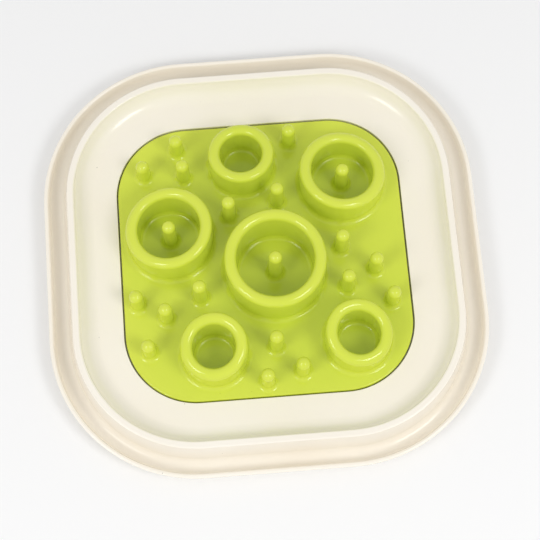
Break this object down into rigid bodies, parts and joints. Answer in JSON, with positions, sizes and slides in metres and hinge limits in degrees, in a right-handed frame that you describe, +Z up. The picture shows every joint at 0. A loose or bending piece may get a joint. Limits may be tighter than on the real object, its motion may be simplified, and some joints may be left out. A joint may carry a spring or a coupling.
{
  "type": "slow feeder bowl",
  "caption": "Square slow feeder bowl: a shallow tray with a raised ridge and an outer gutter holds a lift-out insert whose round cups and upright pegs spread the food out.",
  "frame": {"origin": "on the table under the middle of the tray, at the height of the feet's undersides", "axes": "+X to the right and +Y away from someone standing in front, +Z up"},
  "size_m": [0.3, 0.3, 0.0498],
  "materials": {
    "tray": "glossy cream",
    "insert": "glossy lime green",
    "feet": "matt grey"
  },
  "bodies": {
    "base": {"tray": "tray", "foot_front_left": "feet", "foot_front_right": "feet", "foot_rear_left": "feet", "foot_rear_right": "feet"},
    "insert": {"insert": "insert"}
  },
  "joints": [
    {"name": "insert_lift", "type": "slide", "parent": "base", "child": "insert", "axis": [0, 0, 1], "range_m": [0, 0.06]}
  ]
}
